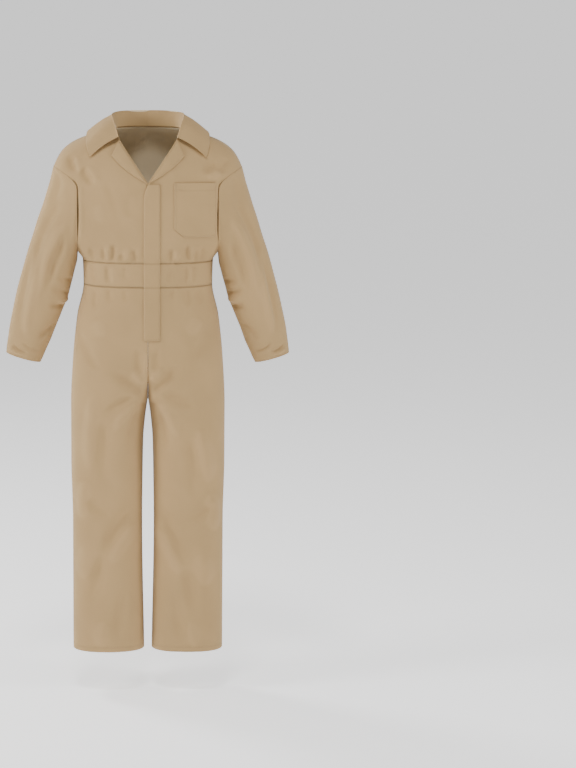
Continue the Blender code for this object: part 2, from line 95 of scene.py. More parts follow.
COLLAR = (
    Station(0.000, 0.074, 0.000, 0.000, 0.082, 0.045, 0.000, 0.104, -0.020),
    Station(0.046, 0.062, 0.001, 0.054, 0.071, 0.045, 0.085, 0.091, -0.018),
    Station(0.076, 0.034, 0.002, 0.088, 0.041, 0.044, 0.145, 0.056, -0.013),
    Station(0.088, 0.000, 0.002, 0.101, 0.000, 0.041, 0.169, 0.000, -0.006),
    Station(0.087, -0.034, -0.003, 0.097, -0.034, 0.028, 0.172, -0.054, -0.031),
    Station(0.083, -0.056, -0.013, 0.089, -0.062, 0.006, 0.168, -0.078, -0.053),
    Station(0.079, -0.070, -0.022, 0.083, -0.079, -0.015, 0.162, -0.093, -0.069),
)
Outline = namedtuple("Outline", "top bottom inner_top inner_low outer_top outer_low clip_width clip_height")
CHEST_POCKET = Outline(-0.140, -0.292, 0.073, 0.073, 0.188, 0.187, 0.028, 0.024)
HIP_POCKET = Outline(-0.478, -0.670, 0.074, 0.064, 0.180, 0.200, 0.026, 0.022)

# -------- creases
# Each is a stroke through two or three points. depth is in millimetres, negative for a trough
# and positive for a ridge; width is the half width in millimetres.
Crease = namedtuple("Crease", "depth width points")
CREASE_GAIN = 2.5


def creases(rows):
    return tuple(Crease(*row) for row in rows)


FRONT = creases((
    # along the armhole, and from the shoulders and the collar
    (-3.0, 9, ((-.209, -.115), (-.202, -.19), (-.203, -.32))),
    (-3.0, 9, ((.209, -.115), (.202, -.195), (.203, -.33))),
    (2.2, 6, ((-.192, -.13), (-.188, -.22), (-.19, -.325))),
    (2.0, 6, ((.193, -.13), (.19, -.215), (.19, -.31))),
    (-3.2, 10, ((-.222, -.068), (-.198, -.115))), (2.4, 9, ((-.205, -.072), (-.18, -.122))),
    (-2.8, 11, ((-.19, -.098), (-.15, -.148))), (2.0, 10, ((-.168, -.092), (-.132, -.15))),
    (-3.0, 11, ((.196, -.088), (.152, -.112))), (2.2, 10, ((.205, -.106), (.16, -.132))),
    (-2.4, 10, ((.22, -.072), (.196, -.12))), (-1.6, 12, ((-.12, -.13), (-.09, -.2), (-.082, -.26))),
    (1.4, 14, ((-.14, -.19), (-.128, -.26))), (-1.4, 14, ((-.058, -.17), (-.05, -.24))),
    # gathers over the waistband
    (-2.8, 5, ((-.122, -.364), (-.127, -.318))), (2.0, 6, ((-.11, -.362), (-.113, -.31))),
    (-3.0, 6, ((-.101, -.365), (-.096, -.305))), (-1.8, 5, ((-.072, -.365), (-.075, -.335))),
    (-2.4, 6, ((-.037, -.365), (-.043, -.322))), (1.6, 8, ((-.055, -.362), (-.06, -.315))),
    (-2.6, 6, ((.062, -.365), (.064, -.318))), (1.8, 7, ((.078, -.362), (.082, -.325))),
    (-3.0, 6, ((.111, -.365), (.108, -.305))), (-2.4, 5, ((.133, -.365), (.139, -.324))),
    (2.0, 6, ((.122, -.364), (.126, -.312))), (-2.6, 6, ((.148, -.365), (.157, -.318))),
    (-2.2, 6, ((-.152, -.365), (-.163, -.322))), (-1.4, 16, ((-.17, -.345), (-.12, -.325))),
    (-1.4, 16, ((.176, -.35), (.12, -.33))),
    # waistband wrinkles
    (-2.0, 5, ((-.158, -.371), (-.153, -.428))), (-2.2, 6, ((-.114, -.369), (-.111, -.43))),
    (1.4, 7, ((-.098, -.372), (-.094, -.428))), (-1.4, 5, ((-.062, -.37), (-.066, -.415))),
    (-2.0, 6, ((.105, -.37), (.108, -.43))), (1.4, 7, ((.118, -.372), (.121, -.426))),
    (-1.8, 5, ((.129, -.37), (.126, -.424))), (-1.2, 6, ((.064, -.385), (.06, -.43))),
    # under the waistband
    (-2.2, 7, ((-.145, -.436), (-.152, -.5))), (-1.8, 7, ((-.11, -.436), (-.108, -.48))),
    (-1.6, 6, ((-.066, -.436), (-.062, -.476))), (-2.0, 7, ((.109, -.436), (.116, -.492))),
    (-1.6, 6, ((.14, -.436), (.15, -.486))), (-1.4, 6, ((.072, -.436), (.07, -.47))),
    # fanning from the crotch
    (-4.0, 12, ((-.006, -.745), (-.06, -.7), (-.11, -.672))),
    (-3.6, 12, ((.006, -.742), (.052, -.69), (.1, -.655))),
    (3.0, 10, ((-.012, -.712), (-.044, -.665))), (3.0, 10, ((.01, -.705), (.04, -.655))),
    (-3.2, 9, ((-.02, -.77), (-.045, -.84), (-.05, -.9))),
    (-3.2, 9, ((.02, -.77), (.04, -.835), (.05, -.905))),
    (3.2, 9, ((-.03, -.76), (-.07, -.8), (-.1, -.85))),
    (3.0, 9, ((.032, -.762), (.066, -.812), (.09, -.87))),
    (-3.4, 11, ((-.03, -.742), (-.08, -.768), (-.13, -.8))),
    (-3.0, 11, ((.032, -.738), (.085, -.752), (.14, -.778))),
    (2.4, 9, ((-.002, -.61), (-.004, -.73))), (-2.2, 9, ((-.03, -.6), (-.024, -.69))),
    (-2.0, 9, ((.026, -.6), (.02, -.688))),
    # light ridges down the thighs
    (4.2, 15, ((-.152, -.72), (-.162, -.86), (-.17, -.98))),
    (4.6, 15, ((.14, -.83), (.164, -.93), (.172, -1.010))),
    (3.4, 15, ((-.174, -.98), (-.19, -1.120))), (3.6, 15, ((.176, -1.020), (.194, -1.150))),
    (-3.2, 15, ((-.118, -.8), (-.128, -.93), (-.12, -1.010))),
    (-3.0, 15, ((.116, -.86), (.13, -.96), (.126, -1.040))),
    # soft diagonals on the lower legs
    (-4.6, 16, ((-.026, -1.070), (-.085, -1.128), (-.128, -1.215))),
    (3.6, 16, ((-.024, -1.120), (-.074, -1.170), (-.104, -1.245))),
    (-4.2, 16, ((-.13, -1.200), (-.152, -1.300), (-.18, -1.360))),
    (3.2, 18, ((-.165, -1.170), (-.184, -1.290))),
    (-4.6, 16, ((.026, -1.068), (.064, -1.140), (.11, -1.252))),
    (3.6, 16, ((.03, -1.125), (.07, -1.200), (.092, -1.282))),
    (-4.0, 16, ((.11, -1.240), (.128, -1.335), (.15, -1.385))), (3.2, 18, ((.15, -1.200), (.172, -1.310))),
    (-2.6, 14, ((-.06, -1.300), (-.08, -1.400), (-.078, -1.470))),
    (-2.6, 14, ((.07, -1.310), (.09, -1.410), (.092, -1.475))),
    (-2.6, 12, ((-.185, -1.040), (-.14, -1.075), (-.1, -1.086))),
    (-2.6, 12, ((.188, -1.060), (.15, -1.092), (.11, -1.096))),
    (2.0, 14, ((.12, -1.400), (.136, -1.488))), (2.0, 14, ((-.125, -1.395), (-.138, -1.488))),
    (-2.4, 12, ((-.196, -.56), (-.165, -.63), (-.13, -.672))),
    (-2.0, 14, ((.186, -.52), (.15, -.6), (.108, -.64))),
    (1.8, 14, ((-.15, -.52), (-.12, -.58))), (1.6, 14, ((.15, -.52), (.11, -.57))),
))
BACK_HALF = creases((
    # beside the action pleat, and from it
    (2.4, 5, ((.204, -.17), (.197, -.26), (.186, -.33))),
    (-4.2, 5, ((.186, -.3), (.163, -.255), (.152, -.3))),
    (-3.4, 5, ((.164, -.256), (.158, -.3), (.15, -.362))), (2.2, 5, ((.172, -.262), (.168, -.33))),
    (-2.2, 10, ((.196, -.19), (.212, -.26), (.2, -.33))),
    (-2.2, 11, ((.15, -.165), (.144, -.22))), (1.8, 11, ((.128, -.17), (.136, -.24))),
    (-1.8, 12, ((.06, -.176), (.086, -.24))),
    # gathers over and in the elastic waistband
    (-3.2, 5, ((.132, -.362), (.136, -.312))), (-2.4, 6, ((.105, -.364), (.112, -.326))),
    (2.0, 6, ((.119, -.362), (.125, -.318))), (-1.8, 7, ((.07, -.364), (.074, -.336))),
    # folds that fan from it over the seat
    (-3.6, 6, ((.14, -.437), (.146, -.5), (.152, -.575))),
    (-3.0, 6, ((.152, -.437), (.162, -.495))), (2.4, 6, ((.146, -.438), (.156, -.52))),
    (-2.4, 6, ((.166, -.44), (.178, -.5))), (-2.0, 7, ((.12, -.437), (.118, -.48))),
    # the seat and the crotch
    (-3.6, 14, ((.01, -.72), (.06, -.69), (.11, -.7))), (2.6, 13, ((.01, -.69), (.054, -.655))),
    (-3.0, 8, ((.004, -.742), (.034, -.735), (.062, -.752))), (2.2, 8, ((.006, -.756), (.04, -.752))),
    (-3.6, 12, ((.026, -.77), (.074, -.8), (.12, -.87))),
    (3.0, 12, ((.024, -.8), (.058, -.85), (.08, -.93))),
    (-2.8, 10, ((.02, -.85), (.04, -.93), (.046, -1.010))),
    # down the leg
    (4.4, 15, ((.178, -.8), (.19, -.93), (.194, -1.040))),
    (-3.4, 15, ((.14, -.86), (.152, -.98), (.146, -1.070))),
    (-4.4, 15, ((.03, -.93), (.046, -1.050), (.08, -1.210))),
    (3.4, 15, ((.03, -1.000), (.048, -1.110), (.068, -1.230))),
    (-4.2, 15, ((.08, -1.200), (.108, -1.330), (.112, -1.420))),
    (-2.8, 14, ((.196, -1.070), (.15, -1.110), (.092, -1.120))), (2.8, 16, ((.15, -1.180), (.166, -1.300))),
    (-2.6, 14, ((.166, -1.260), (.176, -1.380), (.17, -1.470))),
))
BACK_ONE_SIDE = creases((
    (-1.8, 12, ((-.014, -.15), (-.01, -.25), (-.014, -.34))),
    (1.5, 14, ((.02, -.17), (.024, -.3))), (-1.6, 14, ((-.088, -.3), (-.04, -.25))),
    (-1.6, 12, ((.11, -.56), (.06, -.64))), (-1.4, 14, ((-.03, -.48), (-.04, -.56))),
    (-1.5, 14, ((.044, -.47), (.036, -.56))),
))
# On a sleeve a point is (length, turn): length 0 at the armhole and 1 at the cuff, turn 0 on
# the outside, .25 in front, .5 on the inside and .75 at the back. Width is in millimetres.
SLEEVE_CREASES = creases((
    (-4.6, 10, ((.1, .16), (.34, .13), (.6, .15))), (4.4, 9, ((.14, .23), (.4, .205), (.66, .225))),
    (-3.6, 9, ((.2, .3), (.42, .275), (.58, .3))), (-3.6, 10, ((.46, .1), (.62, .12), (.8, .16))),
    (3.2, 9, ((.5, .17), (.66, .18), (.84, .21))),
    (-2.8, 9, ((.02, .06), (.14, .1), (.26, .1))), (-3.0, 8, ((.44, .5), (.47, .4), (.55, .3))),
    (2.4, 8, ((.48, .5), (.52, .41), (.59, .33))), (-3.0, 8, ((.54, .49), (.57, .4), (.63, .33))),
    (-2.6, 8, ((.33, .5), (.38, .41), (.47, .32))), (-2.2, 6, ((.9, .1), (.93, .18), (.92, .27))),
    (1.8, 6, ((.93, .08), (.955, .17), (.95, .24))), (-2.0, 6, ((.86, .22), (.89, .32), (.87, .4))),
    (-2.6, 9, ((.66, .44), (.74, .36), (.82, .32))), (-3.6, 11, ((.06, .62), (.2, .66), (.34, .66))),
    (-4.0, 10, ((.2, .86), (.42, .87), (.62, .85))), (3.8, 10, ((.16, .8), (.4, .805), (.66, .78))),
    (-3.0, 8, ((.42, .54), (.47, .63), (.53, .72))), (2.2, 8, ((.47, .54), (.51, .62), (.57, .7))),
    (-3.0, 8, ((.52, .55), (.56, .64), (.62, .71))), (-2.6, 8, ((.6, .55), (.65, .62), (.72, .68))),
    (-2.4, 9, ((.7, .84), (.8, .79), (.9, .76))), (-2.0, 7, ((.88, .56), (.91, .66), (.9, .76))),
))


# -------- the CAD's curves, on arrays
def read(table, key, value, column):
    """A column of a table at places along its key, on a smooth curve with no overshoot."""
    keys = np.array([getattr(row, key) for row in table])
    data = np.array([getattr(row, column) for row in table])
    value = np.clip(np.asarray(value, float), keys[0], keys[-1])
    slopes = np.diff(data) / np.diff(keys)
    tangents = np.zeros(len(keys))
    tangents[0], tangents[-1] = slopes[0], slopes[-1]
    product = slopes[:-1] * slopes[1:]
    total = np.where(np.abs(slopes[:-1] + slopes[1:]) < 1e-12, 1.0, slopes[:-1] + slopes[1:])
    tangents[1:-1] = np.where(product > 0.0, 2.0 * product / total, 0.0)
    i = np.clip(np.searchsorted(keys, value, side="right") - 1, 0, len(keys) - 2)
    step = keys[i + 1] - keys[i]
    t = (value - keys[i]) / step
    rise = data[i + 1] - data[i]
    start, end = tangents[i] * step, tangents[i + 1] * step
    return data[i] + t * (start + t * ((3.0 * rise - 2.0 * start - end) + t * (start + end - 2.0 * rise)))


def along(rows, fraction):
    """Points at fractions of the way along a chain of points, as a smooth curve."""
    rows = np.asarray(rows, float)
    place = np.asarray(fraction, float) * (len(rows) - 1)
    i = np.clip(place.astype(int), 0, len(rows) - 2)
    t = (place - i).reshape(place.shape + (1,) * (rows.ndim - 1))
    p0, p1 = rows[np.maximum(i - 1, 0)], rows[i]
    p2, p3 = rows[i + 1], rows[np.minimum(i + 2, len(rows) - 1)]
    return 0.5 * (2 * p1 + t * (p2 - p0) + t * t * (2 * p0 - 5 * p1 + 4 * p2 - p3)
                  + t ** 3 * (3 * p1 - p0 - 3 * p2 + p3))


def half_section(t, power=SECTION_POWER):
    return np.maximum(0.0, 1.0 - np.minimum(np.abs(t), 1.0) ** power) ** (1.0 / power)


def shoulder_roll(x, z):
    drop = read(SHOULDER, "x", np.abs(x), "z") - z
    return half_section(1.0 - np.clip(drop / ROLL_HEIGHT, 0.0, 1.0), ROLL_POWER)


def leg_section(t, z):
    drawn = np.clip((CROTCH_CURVE_TOP - z) / (CROTCH_CURVE_TOP - CROTCH), 0.0, 1.0)
    tube = np.clip((CROTCH_CURVE_TOP - z) / (CROTCH_CURVE_TOP - TUBE_BELOW), 0.0, 1.0)
    tube = tube * tube * (3.0 - 2.0 * tube)
    deepest, rounded = 0.5 * tube, 0.10 + 0.40 * tube
    shape = np.where(t > deepest, half_section((t - deepest) / (1.0 - deepest)), 1.0)
    centre = np.sqrt(1.0 - drawn ** 2)
    drawn_in = centre + (1.0 - centre) * half_section(1.0 - t / rounded)
    return shape * np.where(t < rounded, drawn_in, 1.0)


def pleat_hollow(x, z):
    past = (np.abs(x) - read(PLEAT, "z", z, "x")) / PLEAT_WIDTH
    steep = np.clip(past / PLEAT_STEEP_SHARE, 0.0, 1.0)
    hollow = read(PLEAT, "z", z, "depth") * steep * 0.5 * (1.0 + np.cos(math.pi * np.clip(past, 0, 1)))
    return np.where((past <= 0.0) | (past >= 1.0) | (z < WAIST_LOW), 0.0, hollow)


def trunk_depth(x, z, face):
    width = read(TRUNK, "z", z, "half_width")
    depth = read(TRUNK, "z", z, "front" if face < 0 else "back")
    inner = np.where(z < CROTCH, read(INSEAM, "z", z, "x"), 0.0)
    t = np.clip((np.abs(x) - inner) / (width - inner), 0.0, 1.0)
    shape = np.where(z < CROTCH_CURVE_TOP, leg_section(t, z), half_section(t))
    y = depth * shape * shoulder_roll(x, z)
    if face > 0:
        y = y - pleat_hollow(x, z)
    return np.maximum(y, 0.0)


def trunk(x, z, face):
    """Points of the trunk's cloth; face is -1 for the front and 1 for the back."""
    x, z = np.broadcast_arrays(np.asarray(x, float), np.asarray(z, float))
    return np.stack([x, face * trunk_depth(x, z, face), z], axis=-1)


def trunk_normal(x, z, face):
    step = 0.004
    across = trunk(x + step, z, face) - trunk(x - step, z, face)
    up = trunk(x, z + step, face) - trunk(x, z - step, face)
    normal = np.cross(across, up)
    normal /= np.maximum(np.linalg.norm(normal, axis=-1, keepdims=True), 1e-9)
    return normal * np.sign(normal[..., 1:2] * face + 1e-9)


def armhole_x(z):
    rise = np.clip((z - CHEST_EDGE_Z) / (SHOULDER_TIP[1] - CHEST_EDGE_Z), 0.0, 1.0)
    upper = CHEST_EDGE_X + (SHOULDER_TIP[0] - CHEST_EDGE_X) * rise ** 2.2
    lower = CHEST_EDGE_X + (ARMPIT[0] - CHEST_EDGE_X) * (CHEST_EDGE_Z - z) / (CHEST_EDGE_Z - ARMPIT[1])
    return np.where(z >= CHEST_EDGE_Z, upper, lower)


def outer_edge(v):
    side = 0.07
    low_z = WAIST_TOP + (ARMPIT[1] - WAIST_TOP) * np.minimum(v / side, 1.0)
    rise = np.clip((v - side) / (1.0 - side), 0.0, 1.0)
    high_z = ARMPIT[1] + (SHOULDER_TIP[1] - ARMPIT[1]) * np.sin(0.5 * math.pi * rise) ** 0.9
    return (np.where(v <= side, read(TRUNK, "z", low_z, "half_width"), armhole_x(high_z)),
            np.where(v <= side, low_z, high_z))


# -------- relief of the cloth
def smooth(t):
    t = np.clip(t, 0.0, 1.0)
    return t * t * (3.0 - 2.0 * t)


def stroke_relief(place, creases):
    """Height of a set of creases at points in the plane; place has the last axis (a, b) in metres."""
    total = np.zeros(place.shape[:-1])
    for crease in creases:
        points = np.array(crease.points, float)
        if len(points) == 3:          # a curve through the three points
            t = np.linspace(0.0, 1.0, 13)[:, None]
            points = points[0] + (-3 * points[0] + 4 * points[1] - points[2]) * t \
                + (2 * points[0] - 4 * points[1] + 2 * points[2]) * t * t
        lengths = np.linalg.norm(np.diff(points, axis=0), axis=1)
        reach = crease.width * 0.001
        low, high = points.min(axis=0) - 3.2 * reach, points.max(axis=0) + 3.2 * reach
        near = np.all((place > low) & (place < high), axis=-1)
        if not near.any():
            continue
        here = place[near]
        best = np.full(len(here), 1e9)
        share = np.zeros(len(here))
        done = 0.0
        for start, end, length in zip(points[:-1], points[1:], lengths):
            way = (end - start) / max(length, 1e-9)
            t = np.clip((here - start) @ way, 0.0, length)
            gap = np.linalg.norm(here - start - t[:, None] * way, axis=1)
            closer = gap < best
            best = np.where(closer, gap, best)
            share = np.where(closer, (done + t) / lengths.sum(), share)
            done += length
        taper = CREASE_GAIN * smooth(share / 0.30) * smooth((1.0 - share) / 0.38)
        wide = reach * (0.70 + 0.55 * np.sin(math.pi * np.clip(share, 0, 1)))
        total[near] += crease.depth * 0.001 * taper * np.exp(-(best / wide) ** 2)
    return total


def undulation(a, b, phase):
    """Low swell of cloth that nothing holds flat."""
    return 0.0005 * (np.sin(a * 41 + 2.1 * np.sin(b * 9 + phase) + phase)
                     + np.sin(b * 23 + 2.6 * np.sin(a * 17 + 1.7 * phase))
                     + 0.6 * np.sin(a * 83 + b * 57 + 3.0 * phase + np.sin(b * 31)))


def pucker(distance, run, phase, height=0.00045, fade=0.009):
    """Small ripples square to a seam, fading away from it."""
    wave = np.sin(run * 620 + 2.3 * np.sin(run * 90 + phase) + phase) * (0.6 + 0.4 * np.sin(run * 47 + phase))
    return height * wave * np.exp(-np.maximum(distance, 0) / fade)


def seam_dip(distance, depth=0.0011, reach=0.0035):
    return -depth * np.exp(-(distance / reach) ** 2)


BACK_FULL = BACK_HALF + BACK_ONE_SIDE + tuple(
    Crease(c.depth * (0.8 + 0.3 * math.sin(7.0 * k)), c.width,
           tuple((-x + 0.004 * math.sin(3.0 * k), z + 0.006 * math.cos(5.0 * k)) for x, z in c.points))
    for k, c in enumerate(BACK_HALF))


def trunk_relief(x, z, face):
    place = np.stack([x, z], axis=-1)
    relief = stroke_relief(place, FRONT if face < 0 else BACK_FULL)
    relief += undulation(x, z, 0.7 if face < 0 else 2.9)
    width = read(TRUNK, "z", z, "half_width")
    side = width - np.abs(x)
    if face > 0:                      # the elastic at the sides of the back waistband
        elastic = smooth((np.abs(x) - 0.100) / 0.030) * np.exp(-((z + 0.400) / 0.052) ** 4)
        relief += 0.0018 * elastic * np.sin(np.abs(x) * 560 + 2.0 * np.sin(z * 60 + 9 * np.sign(x)))
    for seam in (WAIST_TOP, WAIST_LOW):
        away = np.abs(z - seam)
        relief += pucker(away, x, 1.3 + seam * 9) + seam_dip(away)
    if face > 0:
        centre = np.where(z > CROTCH, np.abs(x), 1.0)
        centre = np.where(z > WAIST_LOW, 1.0, centre)
        relief += pucker(centre, z, 2.0) + seam_dip(centre)
    else:
        centre = np.where((z < FLY_END) & (z > CROTCH), np.abs(x), 1.0)
        relief += pucker(centre, z, 2.0, 0.0006) + seam_dip(centre)
    inseam = np.where(z < CROTCH, np.abs(x) - read(INSEAM, "z", z, "x"), 1.0)
    relief += pucker(inseam, z, 4.4) + pucker(side, z, 5.1)
    hem = z - HEM
    relief += np.where(z < -1.3, pucker(np.abs(hem - 0.014), x, 0.4, 0.0005, 0.006), 0.0)
    relief += np.where(z < -1.3, seam_dip(np.abs(hem - HEM_STITCH), 0.0008, 0.002), 0.0)
    # nothing moves at the sides' edges, where the front and the back meet
    return relief * smooth(side / 0.020) * np.where(z < CROTCH, smooth(inseam / 0.014), 1.0) \
        * smooth((read(SHOULDER, "x", np.abs(x), "z") - z) / 0.020)


def relieved(x, z, face, lift=0.0):
    """Points of the creased cloth, lifted square to it."""
    x, z = np.broadcast_arrays(np.asarray(x, float), np.asarray(z, float))
    height = trunk_relief(x, z, face) + lift
    return trunk(x, z, face) + trunk_normal(x, z, face) * height[..., None]


# -------- materials
def cloth_material(name, tint):
    """Cotton twill: a fine diagonal weave, uneven dye, a painted highlight on ridges and edges and painted
    shade along the seams.
    """
    finish = bpy.data.materials.new(name)
    finish.use_nodes = True
    tree = finish.node_tree
    nodes, links = tree.nodes, tree.links
    shader = nodes["Principled BSDF"]
    shader.inputs["Roughness"].default_value = 0.86
    shader.inputs["Specular IOR Level"].default_value = 0.22
    shader.inputs["Sheen Weight"].default_value = 0.16
    shader.inputs["Sheen Roughness"].default_value = 0.45
    shader.inputs["Sheen Tint"].default_value = (0.95, 0.86, 0.70, 1.0)
    where = nodes.new("ShaderNodeTexCoord")

    def noise(scale, detail):
        node = nodes.new("ShaderNodeTexNoise")
        node.inputs["Scale"].default_value = scale
        node.inputs["Detail"].default_value = detail
        links.new(where.outputs["Object"], node.inputs["Vector"])
        return node.outputs["Fac"]

    turned = nodes.new("ShaderNodeMapping")
    turned.inputs["Rotation"].default_value = (0.0, math.radians(52.0), 0.0)
    links.new(where.outputs["Object"], turned.inputs["Vector"])
    twill = nodes.new("ShaderNodeTexWave")
    twill.wave_type = "BANDS"
    twill.bands_direction = "X"
    twill.inputs["Scale"].default_value = 190.0
    twill.inputs["Distortion"].default_value = 0.8
    twill.inputs["Detail"].default_value = 1.0
    links.new(turned.outputs["Vector"], twill.inputs["Vector"])
    broad, fine = noise(7.0, 3.0), noise(900.0, 2.0)

    def mixed(a, b, factor):
        node = nodes.new("ShaderNodeMix")
        node.data_type = "RGBA"
        links.new(factor, node.inputs[0])
        for socket, value in ((6, a), (7, b)):
            if isinstance(value, tuple):
                node.inputs[socket].default_value = value
            else:
                links.new(value, node.inputs[socket])
        return node.outputs[2]

    def ramp(source, low, high, start, end):
        node = nodes.new("ShaderNodeMapRange")
        for socket, value in zip((1, 2, 3, 4), (low, high, start, end)):
            node.inputs[socket].default_value = value
        links.new(source, node.inputs[0])
        return node.outputs[0]

    dark = tuple(c * 0.86 for c in tint) + (1.0,)
    plain = tuple(tint) + (1.0,)
    light = tuple(min(1.0, c * 1.10 + 0.012) for c in tint) + (1.0,)
    colour = mixed(dark, plain, ramp(broad, 0.30, 0.62, 0.35, 1.0))
    colour = mixed(colour, light, ramp(fine, 0.42, 0.70, 0.0, 0.35))
    colour = mixed(colour, dark, ramp(twill.outputs["Fac"], 0.15, 0.85, 0.30, 0.0))
    # The attribute's red channel: a painted highlight, lighter cloth on ridges and edges.
    painted_light = nodes.new("ShaderNodeAttribute")
    painted_light.attribute_name = "painted_light"
    split = nodes.new("ShaderNodeSeparateColor")
    links.new(painted_light.outputs["Color"], split.inputs[0])
    colour = mixed(colour, light, ramp(split.outputs[0], 0.0, 1.0, 0.0, 0.75))
    # The attribute's green channel: painted shade, darker cloth along the seams and stitch lines.
    seam = tuple(c * 0.56 for c in tint) + (1.0,)
    colour = mixed(colour, seam, ramp(split.outputs[1], 0.0, 1.0, 0.0, 0.85))
    links.new(colour, shader.inputs["Base Color"])
    height = nodes.new("ShaderNodeMath")
    height.operation = "MULTIPLY_ADD"
    links.new(twill.outputs["Fac"], height.inputs[0])
    height.inputs[1].default_value = 0.7
    links.new(fine, height.inputs[2])
    bump = nodes.new("ShaderNodeBump")
    bump.inputs["Strength"].default_value = 0.55
    bump.inputs["Distance"].default_value = 0.00022
    links.new(height.outputs[0], bump.inputs["Height"])
    links.new(bump.outputs["Normal"], shader.inputs["Normal"])
    return finish


def plain_material(name, colour, roughness, metallic=0.0):
    finish = bpy.data.materials.new(name)
    finish.use_nodes = True
    shader = finish.node_tree.nodes["Principled BSDF"]
    shader.inputs["Base Color"].default_value = (*colour, 1.0)
    shader.inputs["Roughness"].default_value = roughness
    shader.inputs["Metallic"].default_value = metallic
    return finish


TAN = (0.440, 0.288, 0.132)
outside = cloth_material("tan_twill", TAN)
inside = cloth_material("tan_twill_inside", (0.80, 0.66, 0.44))
thread = plain_material("tan_thread", (0.480, 0.335, 0.172), 0.70)


# -------- building the pieces
def grid_object(name, points, closed=False, out=None, painted_light=None, seam=None, wall=CLOTH):
    """A grid of points (rows, columns, 3) as a thin shell of cloth; its face looks along out."""
    rows, columns = points.shape[:2]
    index = np.arange(rows * columns).reshape(rows, columns)
    if closed:
        index = np.concatenate([index, index[:, :1]], axis=1)
    a, b = index[:-1, :-1].ravel(), index[:-1, 1:].ravel()
    c, d = index[1:, 1:].ravel(), index[1:, :-1].ravel()
    quads = np.stack([a, b, c, d], axis=1)
    flat = points.reshape(-1, 3)
    normal = np.cross(flat[b] - flat[a], flat[d] - flat[a])
    if (normal * out(0.25 * (flat[a] + flat[b] + flat[c] + flat[d]))).sum() < 0.0:
        quads = quads[:, ::-1]
    name += "_cloth"
    mesh = bpy.data.meshes.new(name)
    mesh.from_pydata(flat.tolist(), [], quads.tolist())
    mesh.update()
    mesh.shade_smooth()
    layer = mesh.color_attributes.new("painted_light", "FLOAT_COLOR", "POINT")
    values = np.zeros((rows * columns, 4))
    values[:, 3] = 1.0
    # Red holds the painted highlight on ridges and edges, green the painted shade along seams and stitch
    # lines.
    for channel, given in ((0, painted_light), (1, seam)):
        if given is not None:
            values[:, channel] = np.clip(np.broadcast_to(given, (rows, columns)), 0, 1).ravel()
    layer.data.foreach_set("color", values.astype(np.float32).ravel())
    piece = bpy.data.objects.new(name, mesh)
    bpy.context.scene.collection.objects.link(piece)
    piece.data.materials.append(outside)
    piece.data.materials.append(inside)
    shell = piece.modifiers.new("cloth wall", "SOLIDIFY")
    shell.thickness = wall
    shell.offset = -1.0
    shell.material_offset = 1
    shell.material_offset_rim = 0
    bpy.context.view_layer.objects.active = piece
    piece.select_set(True)
    bpy.ops.object.modifier_apply(modifier=shell.name)
    piece.select_set(False)
    return piece


def outward(face):
    return lambda centres: np.tile([0.0, float(face), 0.0], (len(centres), 1))


def band(value, place, reach):
    return np.exp(-((value - place) / reach) ** 2)


def seam_shade_tone(x, z, face):
    """Painted shade along stitching and turnings: where the cloth is painted a little darker."""
    seam_shade = 0.9 * band(z, WAIST_TOP, 0.0016) + 0.9 * band(z, WAIST_LOW, 0.0016)
    if face > 0:
        seam_shade += np.where((z < WAIST_LOW) & (z > CROTCH), 0.8 * band(x, 0.0, 0.0015), 0.0)
    else:
        seam_shade += np.where((z < FLY_END) & (z > CROTCH), 0.8 * band(x, 0.0, 0.0015), 0.0)
    seam_shade += np.where(z < -1.4, 0.35 * band(z, HEM + HEM_STITCH, 0.0016), 0.0)
    return seam_shade


def ridge_highlight_tone(relief):
    # Painted highlight: raised cloth, the ridges of creases, painted lighter.
    return np.clip(relief / 0.005, 0.0, 0.45)


def trunk_piece(name, x, z, face):
    relief = trunk_relief(x, z, face)
    points = trunk(x, z, face) + trunk_normal(x, z, face) * relief[..., None]
    flat_side = np.abs(trunk_depth(x, z, face)) < 0.00035
    points[..., 1] = np.where(flat_side, face * 0.00035, points[..., 1])
    # Painted highlight on the ridges and painted shade along the seams of the trunk pieces.
    return grid_object(name, points, out=outward(face), painted_light=ridge_highlight_tone(relief), seam=seam_shade_tone(x, z, face))


def front_inner_edge(v):
    gap = 0.5 * SEAM_GAP
    return (np.interp(v, [0, 7 / 12, 11 / 12, 1], [gap, gap, NOTCH[0], NECK_HALF_WIDTH]),
            np.interp(v, [0, 7 / 12, 11 / 12, 1], [WAIST_TOP + gap, V_BOTTOM, NOTCH[1], NECK_SIDE_Z]))


LAST_ROW = 11 / 12         # from here up the rows bend to the shoulder seam


def to_shoulder(x, z, v, top_x):
    """Blends a bodice panel's top rows into its seam along the shoulder line."""
    share = np.clip((v - LAST_ROW) / (1.0 - LAST_ROW), 0.0, 1.0)
    top_z = read(SHOULDER, "x", top_x, "z")
    return x + (top_x - x) * share, z + (top_z - z) * share


def front_grid(side):
    v = np.linspace(0.0, 1.0, 97)[:, None]
    u = np.sin(0.5 * math.pi * np.linspace(0.0, 1.0, 57))[None, :]
    low_v = np.minimum(v, LAST_ROW)
    x0, z0 = front_inner_edge(low_v)
    x1, z1 = outer_edge(low_v)
    x = x0 + (x1 - x0) * u
    z = z0 + (z1 - z0) * u ** (1.0 + 1.2 * low_v)
    top_x = NECK_HALF_WIDTH + (SHOULDER_TIP[0] - NECK_HALF_WIDTH) * u
    x, z = to_shoulder(x, z, v, np.broadcast_to(top_x, x.shape))
    return side * x, z


def make_front(side, name):
    x, z = front_grid(side)
    return trunk_piece(name, x, z, -1)


